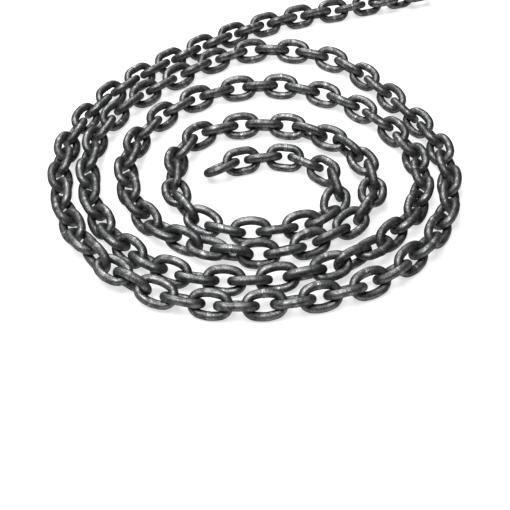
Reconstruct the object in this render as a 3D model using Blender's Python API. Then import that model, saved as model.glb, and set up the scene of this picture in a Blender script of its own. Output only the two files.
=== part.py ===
"""Welded short-link chain, laid on a floor in a loose spiral of four and a half turns.

The links near both free ends are single pieces, each hinged where it hangs in its neighbour.
The rest of the spiral is made of runs of a few links that are joined where their crowns bear.
X is across the spiral, Y away from the viewer's side, +Z up, and the floor is at z = 0.
"""

import math

import bmesh
import bpy
import numpy as np
from mathutils import Matrix, Vector

# ---- driving dimensions, in metres and degrees
WIRE = 0.010  # round bar that the links are bent from
INSIDE_LENGTH = 0.030  # of one link, which is also the pitch of the chain when it is pulled
OUTSIDE_WIDTH = 0.0355  # of one link, over both legs
PLAY = 0.0020  # slack between two hinged links, crown to crown
BITE = 0.0010  # how far joined links bear into each other
LAY = 45.0  # a link leans this far to one side, and its neighbours as far to the other

INNER_SINGLES = 5  # hinged links at the end inside the spiral
RUNS = 33
RUN_LINKS = 4
OUTER_SINGLES = 20  # hinged links at the end that leaves the spiral
TIGHT_TURN = (4, 5)  # single links that only swing, because the chain is bent hard where they hang
LINKS = INNER_SINGLES + RUNS * RUN_LINKS + OUTER_SINGLES

# The middle of the chain on the floor, from the inner end outwards and clockwise seen from above.
ROUTE = [
    (-0.053, -0.059), (-0.031, -0.043), (0.034, -0.029), (0.081, -0.052), (0.102, -0.090), (0.086, -0.137),
    (0.042, -0.157), (-0.027, -0.163), (-0.083, -0.130), (-0.101, -0.065), (-0.087, -0.001), (-0.038, 0.030),
    (0.040, 0.031), (0.115, -0.010), (0.143, -0.064), (0.136, -0.122), (0.086, -0.173), (-0.004, -0.202),
    (-0.086, -0.180), (-0.140, -0.125), (-0.162, -0.050), (-0.144, 0.022), (-0.102, 0.077), (-0.040, 0.112),
    (0.037, 0.122), (0.115, 0.091), (0.174, 0.033), (0.206, -0.042), (0.196, -0.118), (0.145, -0.184),
    (0.079, -0.224), (-0.011, -0.241), (-0.093, -0.228), (-0.160, -0.178), (-0.200, -0.103), (-0.209, -0.011),
    (-0.180, 0.070), (-0.121, 0.133), (-0.058, 0.184), (0.009, 0.212), (0.097, 0.195), (0.153, 0.146),
    (0.198, 0.073), (0.237, -0.010), (0.237, -0.098), (0.208, -0.171), (0.139, -0.238), (0.049, -0.269),
    (-0.040, -0.276), (-0.128, -0.249), (-0.193, -0.189), (-0.235, -0.104), (-0.242, -0.011), (-0.214, 0.074),
    (-0.164, 0.142), (-0.090, 0.209), (-0.009, 0.266), (0.073, 0.304), (0.160, 0.330), (0.245, 0.359),
    (0.330, 0.389), (0.415, 0.419), (0.500, 0.449),
]
CENTRE = (0.0111, 0.0463)  # of the whole chain's box, measured along the route's axes

# Where the chain is twisted away from its even lay: (link number, degrees).
TWIST = [
    (1, 7), (3, 0), (6, 0), (9, -90), (13, -90), (18, 0), (22, 0), (30, -45), (34, -90), (36, -90), (38, -45),
    (41, 0), (66, 0), (72, -90), (123, -90), (126, -45), (129, 0), (LINKS - 5, 0), (LINKS, 45),
]

# ---- what follows from them
CROWN = (OUTSIDE_WIDTH - WIRE) / 2  # radius of a crown, at the middle of the wire
STRAIGHT = INSIDE_LENGTH + WIRE - 2 * CROWN  # of each leg
CROWN_TO_CROWN = INSIDE_LENGTH + WIRE  # at the middle of the wire
CORNER = math.pi / 8  # a crown is drawn with corners this far to each side of its tip
RIDGE = 0.0001  # the drawn wire's ridges reach this far below the round bar of a leaning link
STEEL = (0.085, 0.087, 0.090, 1.0)


def spline(points, per_span=200):
    """A smooth curve through the points, as an array of closely spaced ones (Catmull-Rom)."""
    p = np.array([(x - CENTRE[0], y - CENTRE[1]) for x, y in points])
    p = np.vstack([2 * p[0] - p[1], p, 2 * p[-1] - p[-2]])
    t = np.linspace(0, 1, per_span, endpoint=False)[:, None]
    spans = []
    for a, b, c, d in zip(p[:-3], p[1:-2], p[2:-1], p[3:], strict=True):
        spans.append(b + 0.5 * t * (c - a + t * (2 * a - 5 * b + 4 * c - d + t * (3 * (b - c) + d - a))))
    return np.vstack(spans)


def step_along(path, start, distance):
    """The next place on the path that is this far, in a straight line, from the place at start."""
    low, high = start, start + 1
    here = place_on(path, start)
    while np.linalg.norm(place_on(path, high) - here) < distance:
        low, high = high, high + 1
    for _ in range(30):
        middle = (low + high) / 2
        if np.linalg.norm(place_on(path, middle) - here) < distance:
            low = middle
        else:
            high = middle
    return (low + high) / 2


def place_on(path, at):
    """The point at a fractional index of the path."""
    first = math.floor(at)
    part = at - first
    return path[first] * (1 - part) + path[first + 1] * part


def lean_of(link):
    """Degrees that a link's two legs lean out of level."""
    twist = float(np.interp(link, [n for n, _ in TWIST], [a for _, a in TWIST]))
    return (-LAY if link % 2 else LAY) + twist


def height_at(link):
    """Height where a link meets the next one, with the steeper of the two standing on the floor."""
    steepest = max(abs(math.sin(math.radians(lean_of(n)))) for n in (link, link + 1))
    return CROWN * steepest + WIRE / 2 + RIDGE


def overshoot(link):
    """How far the crowns of a link and the next one reach past the point where they meet."""
    inside_runs = link - INNER_SINGLES
    joined = 0 < inside_runs < RUNS * RUN_LINKS and inside_runs % RUN_LINKS
    return (WIRE - BITE) / 2 if joined else (WIRE + PLAY) / 2


def meeting_points():
    """Where each link meets the one before it, and the last one's far end, all on the route."""
    path = spline(ROUTE)
    at = 0.0
    points = []
    for number in range(LINKS + 1):
        points.append(Vector((*place_on(path, at), height_at(number))))
        at = step_along(path, at, CROWN_TO_CROWN - overshoot(number) - overshoot(number + 1))
    return points


def link_frame(number, start, end):
    """A link's matrix: X from its inner to its outer crown, Y across its two legs."""
    along = (end - start).normalized()
    left = Vector((0, 0, 1)).cross(along).normalized()
    across = Matrix.Rotation(math.radians(lean_of(number)), 3, along) @ left
    frame = Matrix((along, across, along.cross(across))).transposed().to_4x4()
    frame.translation = (start + end + along * (overshoot(number) - overshoot(number - 1))) / 2
    return frame


def wire_corners():
    """Corners of the wire's middle line, in the link's plane, so that its sides touch the true oval."""
    reach = CROWN / math.cos(CORNER)
    corners = []
    for side in (1, -1):
        for turn in (-3, -1, 1, 3):
            x = STRAIGHT / 2 + reach * math.cos(turn * CORNER)
            corners.append((side * x, side * reach * math.sin(turn * CORNER)))
    return corners


def link_curve():
    """One link as a closed wire of round bar."""
    curve = bpy.data.curves.new("link", "CURVE")
    curve.dimensions = "3D"
    curve.bevel_depth = WIRE / 2 / math.cos(CORNER)
    curve.bevel_resolution = 1
    wire = curve.splines.new("POLY")
    corners = wire_corners()
    wire.points.add(len(corners) - 1)
    for point, (x, y) in zip(wire.points, corners, strict=True):
        point.co = (x, y, 0, 1)
    wire.use_cyclic_u = True
    return curve


def mesh_of_curve(curve):
    """The curve's surface as a mesh."""
    holder = bpy.data.objects.new("holder", curve)
    bpy.context.scene.collection.objects.link(holder)
    bpy.context.view_layer.update()
    mesh = bpy.data.meshes.new_from_object(holder.evaluated_get(bpy.context.evaluated_depsgraph_get()))
    bpy.data.objects.remove(holder)
    return mesh


def links_as_one_mesh(name, mesh, frames):
    """Copies of a link's mesh, one in each frame."""
    both = bmesh.new()
    for frame in frames:
        copy = mesh.copy()
        copy.transform(frame)
        both.from_mesh(copy)
        bpy.data.meshes.remove(copy)
    joined = bpy.data.meshes.new(name)
    both.to_mesh(joined)
    both.free()
    return joined


def steel():
    """Dark oiled steel."""
    material = bpy.data.materials.new("dark_steel")
    material.use_nodes = True
    shader = material.node_tree.nodes["Principled BSDF"]
    shader.inputs["Base Color"].default_value = STEEL
    shader.inputs["Metallic"].default_value = 1.0
    shader.inputs["Roughness"].default_value = 0.38
    return material


def add_single(name, curve, frame, pivot, holder, parts):
    """A single link, held by an empty on its hinge's axis, which the next link inwards holds in turn."""
    hinge = bpy.data.objects.new(name + "_hinge", None)
    hinge.empty_display_size = WIRE
    parts.objects.link(hinge)
    hinge.parent = holder
    if holder:
        hinge.matrix_parent_inverse = holder.matrix_world.inverted()
    hinge.matrix_world = pivot
    link = bpy.data.objects.new(name, curve)
    parts.objects.link(link)
    link.parent = hinge
    link.matrix_parent_inverse = pivot.inverted()
    link.matrix_world = frame
    bpy.context.view_layer.update()
    return hinge


def hinge_frame(number, at, held, way):
    """A hinge's matrix where a link meets the one that holds it, with its axis along X.

    The links take turns: one swings about an upright axis, and the next lifts about a level one.
    way is 1 where the free end is the outer one, and -1 where it is the inner one.
    """
    along = held.col[0].to_3d()
    up = Vector((0, 0, 1))
    if number % 2 or number in TIGHT_TURN:
        axis = up if (number + 1) // 2 % 2 else -up
    else:
        axis = along.cross(up).normalized() * way
    side = along.cross(axis).normalized()
    frame = Matrix((axis, side, axis.cross(side))).transposed().to_4x4()
    frame.translation = at
    return frame


def add_run(name, mesh, frames, material, parts, cutters):
    """A run of joined links: every second link is one mesh, and a Boolean joins the others to it."""
    run = bpy.data.objects.new(name, links_as_one_mesh(name, mesh, frames[0::2]))
    others = bpy.data.objects.new(name + "_others", links_as_one_mesh(name + "_others", mesh, frames[1::2]))
    parts.objects.link(run)
    cutters.objects.link(others)
    others.hide_render = True
    others.display_type = "WIRE"
    run.data.materials.append(material)
    join = run.modifiers.new("join", "BOOLEAN")
    join.operation = "UNION"
    join.solver = "EXACT"
    join.object = others


def single_name(number):
    """The name of a single link, by its place from the inner end."""
    return {1: "inner_end_link", LINKS: "outer_end_link"}.get(number, f"link_{number:03d}")


def build():
    """The whole chain."""
    parts = bpy.data.collections.new("coiled_chain")
    cutters = bpy.data.collections.new("cutters")
    bpy.context.scene.collection.children.link(parts)
    bpy.context.scene.collection.children.link(cutters)
    material = steel()
    curve = link_curve()
    mesh = mesh_of_curve(curve)
    curve.materials.append(material)
    points = meeting_points()
    frames = [link_frame(n, points[n - 1], points[n]) for n in range(1, LINKS + 1)]

    holder = None
    for number in range(INNER_SINGLES, 0, -1):
        pivot = hinge_frame(number, points[number], frames[number], -1)
        holder = add_single(single_name(number), curve, frames[number - 1], pivot, holder, parts)
    for run in range(RUNS):
        first = INNER_SINGLES + run * RUN_LINKS
        name = f"links_{first + 1:03d}_to_{first + RUN_LINKS:03d}"
        add_run(name, mesh, frames[first : first + RUN_LINKS], material, parts, cutters)
    holder = None
    for number in range(LINKS - OUTER_SINGLES + 1, LINKS + 1):
        pivot = hinge_frame(number, points[number - 1], frames[number - 2], 1)
        holder = add_single(single_name(number), curve, frames[number - 1], pivot, holder, parts)
    bpy.data.meshes.remove(mesh)


for old in list(bpy.data.objects):
    bpy.data.objects.remove(old)
build()
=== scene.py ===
"""Looks of a welded short-link chain that lies on a floor in a loose spiral.

Every link is a piece of its own: a forged oval of round bar with a butt weld in the middle of one
leg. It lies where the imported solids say, and rides on the body that holds it.
X is across the spiral, Y away from the viewer's side, +Z up, and the floor is at z = 0.
"""

import math

import bpy
import numpy as np
from mathutils import Matrix, Vector, noise


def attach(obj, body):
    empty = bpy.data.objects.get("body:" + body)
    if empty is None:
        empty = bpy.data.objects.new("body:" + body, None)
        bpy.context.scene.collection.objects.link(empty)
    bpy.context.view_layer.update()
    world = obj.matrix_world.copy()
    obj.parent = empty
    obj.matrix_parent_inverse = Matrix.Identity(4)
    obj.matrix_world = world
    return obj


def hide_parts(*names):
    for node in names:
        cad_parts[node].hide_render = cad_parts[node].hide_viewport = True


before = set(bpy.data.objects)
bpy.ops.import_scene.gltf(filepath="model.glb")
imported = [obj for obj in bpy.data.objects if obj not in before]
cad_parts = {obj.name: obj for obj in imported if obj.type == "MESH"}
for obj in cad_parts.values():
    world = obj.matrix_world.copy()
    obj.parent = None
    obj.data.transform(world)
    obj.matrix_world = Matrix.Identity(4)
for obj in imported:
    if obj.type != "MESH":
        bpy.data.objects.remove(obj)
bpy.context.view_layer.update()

# ---- the chain's dimensions, in metres and degrees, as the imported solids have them
WIRE = 0.010
INSIDE_LENGTH = 0.030
OUTSIDE_WIDTH = 0.0355
PLAY = 0.0020  # slack between a hinged link and the one that holds it
BITE = 0.0010  # how far the crowns of two joined links run into each other
LAY = 45.0  # how far the links lean out of level, to either side by turns
INNER_SINGLES = 5
RUNS = 33
RUN_LINKS = 4
OUTER_SINGLES = 20
LINKS = INNER_SINGLES + RUNS * RUN_LINKS + OUTER_SINGLES

# The middle of the chain on the floor, from the inner end outwards and clockwise seen from above.
ROUTE = [
    (-0.053, -0.059), (-0.031, -0.043), (0.034, -0.029), (0.081, -0.052), (0.102, -0.090),
    (0.086, -0.137), (0.042, -0.157), (-0.027, -0.163), (-0.083, -0.130), (-0.101, -0.065),
    (-0.087, -0.001), (-0.038, 0.030), (0.040, 0.031), (0.115, -0.010), (0.143, -0.064),
    (0.136, -0.122), (0.086, -0.173), (-0.004, -0.202), (-0.086, -0.180), (-0.140, -0.125),
    (-0.162, -0.050), (-0.144, 0.022), (-0.102, 0.077), (-0.040, 0.112), (0.037, 0.122),
    (0.115, 0.091), (0.174, 0.033), (0.206, -0.042), (0.196, -0.118), (0.145, -0.184),
    (0.079, -0.224), (-0.011, -0.241), (-0.093, -0.228), (-0.160, -0.178), (-0.200, -0.103),
    (-0.209, -0.011), (-0.180, 0.070), (-0.121, 0.133), (-0.058, 0.184), (0.009, 0.212),
    (0.097, 0.195), (0.153, 0.146), (0.198, 0.073), (0.237, -0.010), (0.237, -0.098),
    (0.208, -0.171), (0.139, -0.238), (0.049, -0.269), (-0.040, -0.276), (-0.128, -0.249),
    (-0.193, -0.189), (-0.235, -0.104), (-0.242, -0.011), (-0.214, 0.074), (-0.164, 0.142),
    (-0.090, 0.209), (-0.009, 0.266), (0.073, 0.304), (0.160, 0.330), (0.245, 0.359),
    (0.330, 0.389), (0.415, 0.419), (0.500, 0.449),
]
CENTRE = (0.0111, 0.0463)  # of the whole chain's box, measured along the route's axes
HALVINGS = 30  # of the interval in which the next place along the route is looked for

# Where the chain is twisted away from its even lay: (link number, degrees).
TWIST = [
    (1, 7), (3, 0), (6, 0), (9, -90), (13, -90), (18, 0), (22, 0), (30, -45), (34, -90), (36, -90),
    (38, -45), (41, 0), (66, 0), (72, -90), (123, -90), (126, -45), (129, 0), (LINKS - 5, 0),
    (LINKS, 45),
]

CROWN = (OUTSIDE_WIDTH - WIRE) / 2  # half the width of the oval, at the middle of the wire
CROWN_TO_CROWN = INSIDE_LENGTH + WIRE  # at the middle of the wire
RIDGE = 0.0001  # clearance of the lowest leg over the floor

# ---- how the links are drawn
BAR = 0.0103  # thickness of the bar as it is drawn, with its scale and within the solids' ridges
HINGED_BAR = 0.0100  # the same for links with a hinge, which need their play
SIDES = 24  # around the wire
CROWN_STEPS = 14  # along each crown
LEG_STEPS = 10  # along the plain leg
BEND = 0.0115  # radius of a crown at the middle of the wire: the legs bow out between the crowns
HINGED_BEND = 0.0126  # the same for links with a hinge
CONTACT = 0.0001  # how far the crowns of two touching links are pressed into each other
LOOSE_LEAN = 3.5  # degrees, about, that a link without a hinge may lean away from the even lay
UNEVEN = 0.00009  # how far the surface of the hot-worked bar is off a true round
UNEVEN_SCALE = 160  # per metre

# ---- the weld, by the distance along the leg from its middle
WELD_REACH = 0.0034  # how far the weld's marks reach to each side
WELD_STEPS = 18  # along those marks
BESIDE_WELD_STEPS = 4  # from the marks to each crown
SCRAPED_FROM = 0.0012  # the scraped colour is full up to here, and fades out to the marks' end
BEAD_HEIGHT = 0.00034
BEAD_TOP = 0.0004  # where the bead begins to fall
BEAD_FOOT = 0.0026  # where it ends
BEAD_WANDER = 0.0005  # how ragged its edges are
LINE_HEIGHT = 0.00022  # of the fine upset line on each side
LINE_AT = 0.0013
LINE_WIDTH = 0.00028
TRIMMED_TO = 0.55  # share of the height that trimming leaves, on the whole
TRIM_VARIES = 0.45  # and how much that varies round the bar

# ---- what differs from link to link
LEAN_KEY = 3.1  # the keys tell apart what is drawn at random for a link
WELD_KEY = 8.7
OTHER_LEG_BELOW = -0.1  # a lower draw puts the weld on the link's other leg
SEED_STEP = 1.37  # between the seeds of two neighbouring links' surfaces
SEED_SPAN = 10  # the marks' seeds start again after this

# ---- the steel
SCALE_COLOUR = (0.040, 0.041, 0.043, 1)
RUBBED_COLOUR = (0.222, 0.224, 0.227, 1)
PIT_COLOUR = (0.018, 0.019, 0.020, 1)
WELD_COLOUR = (0.26, 0.263, 0.267, 1)
EDGE_TINT = (0.28, 0.28, 0.28, 1)  # of what it mirrors at a shallow angle
METALLIC = 0.95
SCALE_ROUGHNESS = 0.54
RUBBED_ROUGHNESS = 0.42
WELD_SMOOTHER = 0.08  # how much less rough a scraped weld is
MARK_DEPTH = 0.0003
MARK_STRENGTH = 0.24

# ---- studio
WHITE = (1, 1, 1, 1)
TABLE_SIZE = 30
TABLE_COLOUR = (0.30, 0.30, 0.30, 1)
TABLE_ROUGHNESS = 0.9
TABLE_GLOW = 0.66  # strength of the light from below
WORLD_LIGHT = 0.05  # strength of the light that falls on the chain from all round
BACKDROP = 0.85  # how bright the world is where the camera sees it

# ---- camera
CAMERA_AT = (0.0, -0.8794, 0.7304)  # measured along the route's axes
CAMERA_TILT = 43.437  # degrees up from looking straight down
LENS = 61.37  # millimetres
SENSOR = 36  # millimetres across


def spline(points, per_span=200):
    """A smooth curve through the points, as an array of closely spaced ones (Catmull-Rom)."""
    p = np.array([(x - CENTRE[0], y - CENTRE[1]) for x, y in points])
    p = np.vstack([2 * p[0] - p[1], p, 2 * p[-1] - p[-2]])
    t = np.linspace(0, 1, per_span, endpoint=False)[:, None]
    spans = []
    for a, b, c, d in zip(p[:-3], p[1:-2], p[2:-1], p[3:], strict=True):
        bent = 2 * a - 5 * b + 4 * c - d + t * (3 * (b - c) + d - a)
        spans.append(b + 0.5 * t * (c - a + t * bent))
    return np.vstack(spans)


def step_along(path, start, distance):
    """The next place on the path that is this far, in a straight line, from the place at start."""
    low, high = start, start + 1
    here = place_on(path, start)
    while np.linalg.norm(place_on(path, high) - here) < distance:
        low, high = high, high + 1
    for _ in range(HALVINGS):
        middle = (low + high) / 2
        if np.linalg.norm(place_on(path, middle) - here) < distance:
            low = middle
        else:
            high = middle
    return (low + high) / 2


def place_on(path, at):
    """The point at a fractional index of the path."""
    first = math.floor(at)
    part = at - first
    return path[first] * (1 - part) + path[first + 1] * part


def lean_of(link):
    """Degrees that a link's two legs lean out of level."""
    twist = float(np.interp(link, [n for n, _ in TWIST], [a for _, a in TWIST]))
    return (-LAY if link % 2 else LAY) + twist


def height_at(link):
    """Height where a link meets the next one, with the steeper of the two standing on the floor."""
    steepest = max(abs(math.sin(math.radians(lean_of(n)))) for n in (link, link + 1))
    return CROWN * steepest + WIRE / 2 + RIDGE


def is_joined(link):
    """Whether a link and the next one are one solid in the frame."""
    inside_runs = link - INNER_SINGLES
    return 0 < inside_runs < RUNS * RUN_LINKS and inside_runs % RUN_LINKS != 0


def is_hinged(link):
    """Whether a link has a hinge at either end."""
    return link <= INNER_SINGLES + 1 or link >= LINKS - OUTER_SINGLES


def overshoot(link):
    """How far the crowns of a link and the next one reach past the point where they meet."""
    return (WIRE - BITE) / 2 if is_joined(link) else (WIRE + PLAY) / 2


def meeting_points():
    """Where each link meets the one before it, and the last one's far end, all on the route."""
    path = spline(ROUTE)
    at = 0.0
    points = []
    for number in range(LINKS + 1):
        points.append(Vector((*place_on(path, at), height_at(number))))
        at = step_along(path, at, CROWN_TO_CROWN - overshoot(number) - overshoot(number + 1))
    return points


def link_frame(number, start, end):
    """A link's matrix: X from its inner to its outer crown, Y across its two legs.

    The lean of a link without a hinge is a little its own, and the link is raised by as much as
    that presses it down.
    """
    along = (end - start).normalized()
    left = Vector((0, 0, 1)).cross(along).normalized()
    lean = lean_of(number)
    loose = lean if is_hinged(number) else lean + LOOSE_LEAN * wander(number, LEAN_KEY)
    across = Matrix.Rotation(math.radians(loose), 3, along) @ left
    made = Matrix((along, across, along.cross(across))).transposed().to_4x4()
    lower = abs(math.sin(math.radians(loose))) - abs(math.sin(math.radians(lean)))
    made.translation = (start + end + along * (reach(number) - reach(number - 1))) / 2
    made.translation.z += CROWN * max(0.0, lower)
    return made


def wander(number, key):
    """A repeatable number from about -1 to 1 for each link, read off the noise's own grid."""
    return noise.noise(Vector((number * 7.31 + 0.37, key, 0.5))) * 2


# ---- one link's mesh


def smooth_step(low, high, x):
    """0 below low, 1 above high, and smooth between them."""
    t = min(1.0, max(0.0, (x - low) / (high - low)))
    return t * t * (3 - 2 * t)


def oval(half, bend, weld_side):
    """The wire's middle line in the link's plane: (point, outward direction, gap to the weld).

    Two crowns of the radius bend are joined by two legs, which are long arcs that touch them
    smoothly. half is how far the crowns' tips are from the middle of the link.
    """
    away = half - bend
    leg = (away**2 + CROWN**2 - bend**2) / (2 * (CROWN - bend))
    swing = math.atan2(away, leg - CROWN)
    stations = []
    for side in (1, -1):
        middle = Vector((side * away, 0, 0))
        crown_turn = math.pi / 2 - swing
        for turn in np.linspace(-crown_turn, crown_turn, CROWN_STEPS, endpoint=False):
            out = Vector((side * math.cos(turn), side * math.sin(turn), 0))
            stations.append((middle + out * bend, out, CROWN))
        welded = side == weld_side
        middle = Vector((0, side * (CROWN - leg), 0))
        for x in leg_places(side * leg * math.sin(swing), welded):
            turn = math.asin(x / leg)
            out = Vector((math.sin(turn), side * math.cos(turn), 0))
            stations.append((middle + out * leg, out, abs(x) if welded else CROWN))
    return stations


def leg_places(start, welded):
    """Places along a leg, in the order that the wire runs, closer together where the weld is."""
    if not welded:
        return np.linspace(start, -start, LEG_STEPS, endpoint=False)
    edge = math.copysign(WELD_REACH, start)
    return np.concatenate([
        np.linspace(start, edge, BESIDE_WELD_STEPS, endpoint=False),
        np.linspace(edge, -edge, WELD_STEPS, endpoint=False),
        np.linspace(-edge, -start, BESIDE_WELD_STEPS, endpoint=False),
    ])


def weld_height(gap, angle, seed):
    """How far the weld stands out of the wire: a low trimmed bead between two fine upset lines."""
    round_bar = math.cos(angle), math.sin(angle)
    ragged = BEAD_WANDER * noise.noise(Vector((round_bar[0] * 2, round_bar[1] * 2, seed)))
    bead = BEAD_HEIGHT * (1 - smooth_step(BEAD_TOP, BEAD_FOOT, gap + ragged))
    lines = LINE_HEIGHT * math.exp(-(((gap + ragged - LINE_AT) / LINE_WIDTH) ** 2))
    trimmed = TRIMMED_TO + TRIM_VARIES * noise.noise(Vector((*round_bar, seed + 9)))
    return (bead + lines) * trimmed


def link_mesh(name, half, hinged, weld_side, seed):
    """One link as a closed tube, with its weld and the unevenness of hot-worked bar."""
    stations = oval(half, HINGED_BEND if hinged else BEND, weld_side)
    radius = (HINGED_BAR if hinged else BAR) / 2
    points, welds = [], []
    for centre, out, gap in stations:
        for k in range(SIDES):
            angle = 2 * math.pi * k / SIDES
            direction = out * math.cos(angle) + Vector((0, 0, math.sin(angle)))
            spot = (centre + direction * radius) * UNEVEN_SCALE + Vector((seed, 0, 0))
            rough = UNEVEN * noise.noise(spot)
            raised = weld_height(gap, angle, seed) if gap < WELD_REACH else 0.0
            points.append(centre + direction * (radius + rough + raised))
            welds.append(1 - smooth_step(SCRAPED_FROM, WELD_REACH, gap))
    count = len(stations)
    faces = []
    for i in range(count):
        for k in range(SIDES):
            ring, after = i * SIDES, (i + 1) % count * SIDES
            turn = (k + 1) % SIDES
            faces.append((ring + k, after + k, after + turn, ring + turn))
    mesh = bpy.data.meshes.new(name)
    mesh.from_pydata(points, [], faces)
    mesh.shade_smooth()
    for key, values in (("weld", welds), ("seed", [seed % SEED_SPAN] * len(points))):
        mesh.attributes.new(key, "FLOAT", "POINT").data.foreach_set("value", values)
    return mesh


# ---- material


class Nodes:
    """Short ways to add and join shader nodes."""

    def __init__(self, material):
        material.use_nodes = True
        self.tree = material.node_tree
        self.shader = self.tree.nodes["Principled BSDF"]

    def add(self, kind, **settings):
        node = self.tree.nodes.new(kind)
        for key, value in settings.items():
            setattr(node, key, value)
        return node

    def join(self, source, target):
        self.tree.links.new(source, target)
        return source

    def noise(self, vector, scale, detail=4.0, roughness=0.55):
        node = self.add("ShaderNodeTexNoise")
        node.inputs["Scale"].default_value = scale
        node.inputs["Detail"].default_value = detail
        node.inputs["Roughness"].default_value = roughness
        self.join(vector, node.inputs["Vector"])
        return node.outputs["Fac"]

    def ramp(self, value, low, high, to_low=0.0, to_high=1.0):
        node = self.add("ShaderNodeMapRange", interpolation_type="SMOOTHSTEP")
        node.inputs["From Min"].default_value = low
        node.inputs["From Max"].default_value = high
        node.inputs["To Min"].default_value = to_low
        node.inputs["To Max"].default_value = to_high
        self.join(value, node.inputs["Value"])
        return node.outputs["Result"]

    def maths(self, operation, a, b):
        node = self.add("ShaderNodeMath", operation=operation)
        for socket, value in zip(node.inputs, (a, b)):
            if isinstance(value, (int, float)):
                socket.default_value = value
            else:
                self.join(value, socket)
        return node.outputs["Value"]

    def mix(self, share, a, b):
        node = self.add("ShaderNodeMix", data_type="RGBA")
        self.join(share, node.inputs["Factor"])
        for socket, value in ((node.inputs["A"], a), (node.inputs["B"], b)):
            if isinstance(value, tuple):
                socket.default_value = value
            else:
                self.join(value, socket)
        return node.outputs["Result"]

    def attribute(self, name):
        return self.add("ShaderNodeAttribute", attribute_name=name).outputs["Fac"]


def own_place(nodes):
    """The place on a link, shifted by the link's own seed so that no two links are marked alike."""
    spot = nodes.add("ShaderNodeTexCoord").outputs["Object"]
    seed = nodes.attribute("seed")
    spread = nodes.add("ShaderNodeCombineXYZ")
    nodes.join(seed, spread.inputs["X"])
    nodes.join(seed, spread.inputs["Z"])
    shifted = nodes.add("ShaderNodeVectorMath", operation="ADD")
    nodes.join(spot, shifted.inputs[0])
    nodes.join(spread.outputs["Vector"], shifted.inputs[1])
    return shifted.outputs["Vector"]


def forged_steel():
    """Hardened chain steel: dark scale, rubbed grey in patches, with paler scraped welds."""
    material = bpy.data.materials.new("forged_steel")
    nodes = Nodes(material)
    place = own_place(nodes)
    weld = nodes.attribute("weld")
    patches = nodes.ramp(nodes.noise(place, 110, 5), 0.38, 0.66)
    mottle = nodes.ramp(nodes.noise(place, 520, 5, 0.62), 0.36, 0.68)
    grain = nodes.noise(place, 2600, 3, 0.6)
    patchy = nodes.maths("MULTIPLY", patches, 0.55)
    rubbed = nodes.maths("ADD", patchy, nodes.maths("MULTIPLY", mottle, 0.45))
    colour = nodes.mix(rubbed, SCALE_COLOUR, RUBBED_COLOUR)
    pits = nodes.ramp(nodes.noise(place, 850, 2, 0.7), 0.52, 0.62, 0.0, 0.55)
    colour = nodes.mix(pits, colour, PIT_COLOUR)
    scraped = nodes.maths("MULTIPLY", weld, nodes.ramp(nodes.noise(place, 700, 3), 0.44, 0.56))
    colour = nodes.mix(scraped, colour, WELD_COLOUR)
    nodes.join(colour, nodes.shader.inputs["Base Color"])
    rough = nodes.ramp(rubbed, 0.0, 1.0, SCALE_ROUGHNESS, RUBBED_ROUGHNESS)
    rough = nodes.maths("SUBTRACT", rough, nodes.maths("MULTIPLY", scraped, WELD_SMOOTHER))
    nodes.join(rough, nodes.shader.inputs["Roughness"])
    nodes.shader.inputs["Metallic"].default_value = METALLIC
    nodes.shader.inputs["Specular Tint"].default_value = EDGE_TINT
    bump = nodes.add("ShaderNodeBump")
    bump.inputs["Strength"].default_value = MARK_STRENGTH
    bump.inputs["Distance"].default_value = MARK_DEPTH
    height = nodes.maths("ADD", nodes.maths("MULTIPLY", grain, 0.4), mottle)
    nodes.join(height, bump.inputs["Height"])
    nodes.join(bump.outputs["Normal"], nodes.shader.inputs["Normal"])
    return material


# ---- the chain


def single_name(number):
    """The name of a single link in the frame, by its place from the inner end."""
    return {1: "inner_end_link", LINKS: "outer_end_link"}.get(number, f"link_{number:03d}")


def home_of(number):
    """The frame's node and body that a link belongs to."""
    inside_runs = number - INNER_SINGLES - 1
    if 0 <= inside_runs < RUNS * RUN_LINKS:
        first = number - inside_runs % RUN_LINKS
        return f"links_{first:03d}_to_{first + RUN_LINKS - 1:03d}", "coil"
    return single_name(number), single_name(number)


def reach(number):
    """How far a link's crown reaches past the point where it meets the next one."""
    return BAR / 2 - CONTACT if is_joined(number) else overshoot(number)


def add_links():
    """Every link, in place of the plain solids."""
    steel = forged_steel()
    points = meeting_points()
    for number in range(1, LINKS + 1):
        start, end = points[number - 1], points[number]
        half = ((end - start).length + reach(number - 1) + reach(number)) / 2
        name = f"forged_link_{number:03d}"
        weld_side = 1 if wander(number, WELD_KEY) > OTHER_LEG_BELOW else -1
        mesh = link_mesh(name, half, is_hinged(number), weld_side, number * SEED_STEP)
        mesh.materials.append(steel)
        link = bpy.data.objects.new(name, mesh)
        bpy.context.scene.collection.objects.link(link)
        link.matrix_world = link_frame(number, start, end)
        node, body = home_of(number)
        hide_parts(node)
        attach(link, body)


# ---- the studio


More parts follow.
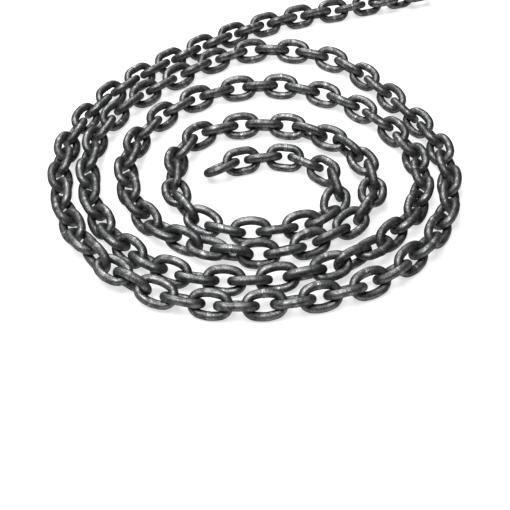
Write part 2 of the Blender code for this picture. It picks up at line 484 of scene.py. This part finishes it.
def add_floor():
    """A plain white table that is lit from below, so that only faint shadows lie on it."""
    material = bpy.data.materials.new("floor")
    material.use_nodes = True
    shader = material.node_tree.nodes["Principled BSDF"]
    shader.inputs["Base Color"].default_value = TABLE_COLOUR
    shader.inputs["Roughness"].default_value = TABLE_ROUGHNESS
    shader.inputs["Emission Color"].default_value = WHITE
    shader.inputs["Emission Strength"].default_value = TABLE_GLOW
    bpy.ops.mesh.primitive_plane_add(size=TABLE_SIZE)
    floor = bpy.context.object
    floor.name = "floor"
    floor.data.materials.append(material)


def add_light(name, at, size, power):
    """A soft square light that faces the middle of the chain, with its power in watts."""
    light = bpy.data.lights.new(name, "AREA")
    light.shape = "SQUARE"
    light.size = size
    light.energy = power
    lamp = bpy.data.objects.new(name, light)
    bpy.context.scene.collection.objects.link(lamp)
    lamp.location = at
    lamp.rotation_euler = (-Vector(at)).to_track_quat("-Z", "Y").to_euler()


def add_camera():
    """The camera, above the near side of the chain."""
    data = bpy.data.cameras.new("camera")
    data.lens = LENS
    data.sensor_width = SENSOR
    camera = bpy.data.objects.new("camera", data)
    bpy.context.scene.collection.objects.link(camera)
    camera.location = Vector(CAMERA_AT) - Vector((*CENTRE, 0))
    camera.rotation_euler = (math.radians(CAMERA_TILT), 0, 0)
    bpy.context.scene.camera = camera


def add_world():
    """Dim even light from all round, with a pale backdrop where the table ends."""
    world = bpy.data.worlds.new("studio")
    world.use_nodes = True
    background = world.node_tree.nodes["Background"]
    background.inputs["Color"].default_value = WHITE
    ray = world.node_tree.nodes.new("ShaderNodeLightPath")
    strength = world.node_tree.nodes.new("ShaderNodeMapRange")
    strength.inputs["To Min"].default_value = WORLD_LIGHT
    strength.inputs["To Max"].default_value = BACKDROP
    world.node_tree.links.new(ray.outputs["Is Camera Ray"], strength.inputs["Value"])
    world.node_tree.links.new(strength.outputs["Result"], background.inputs["Strength"])
    bpy.context.scene.world = world
    bpy.context.scene.view_settings.view_transform = "Standard"


add_links()
add_floor()
add_light("key_light", (-0.6, -0.7, 3.1), 1.7, 165)
add_light("side_light", (-2.0, -0.3, 1.7), 0.9, 11)
add_light("back_light", (-0.8, 2.3, 2.4), 1.6, 110)
add_world()
add_camera()
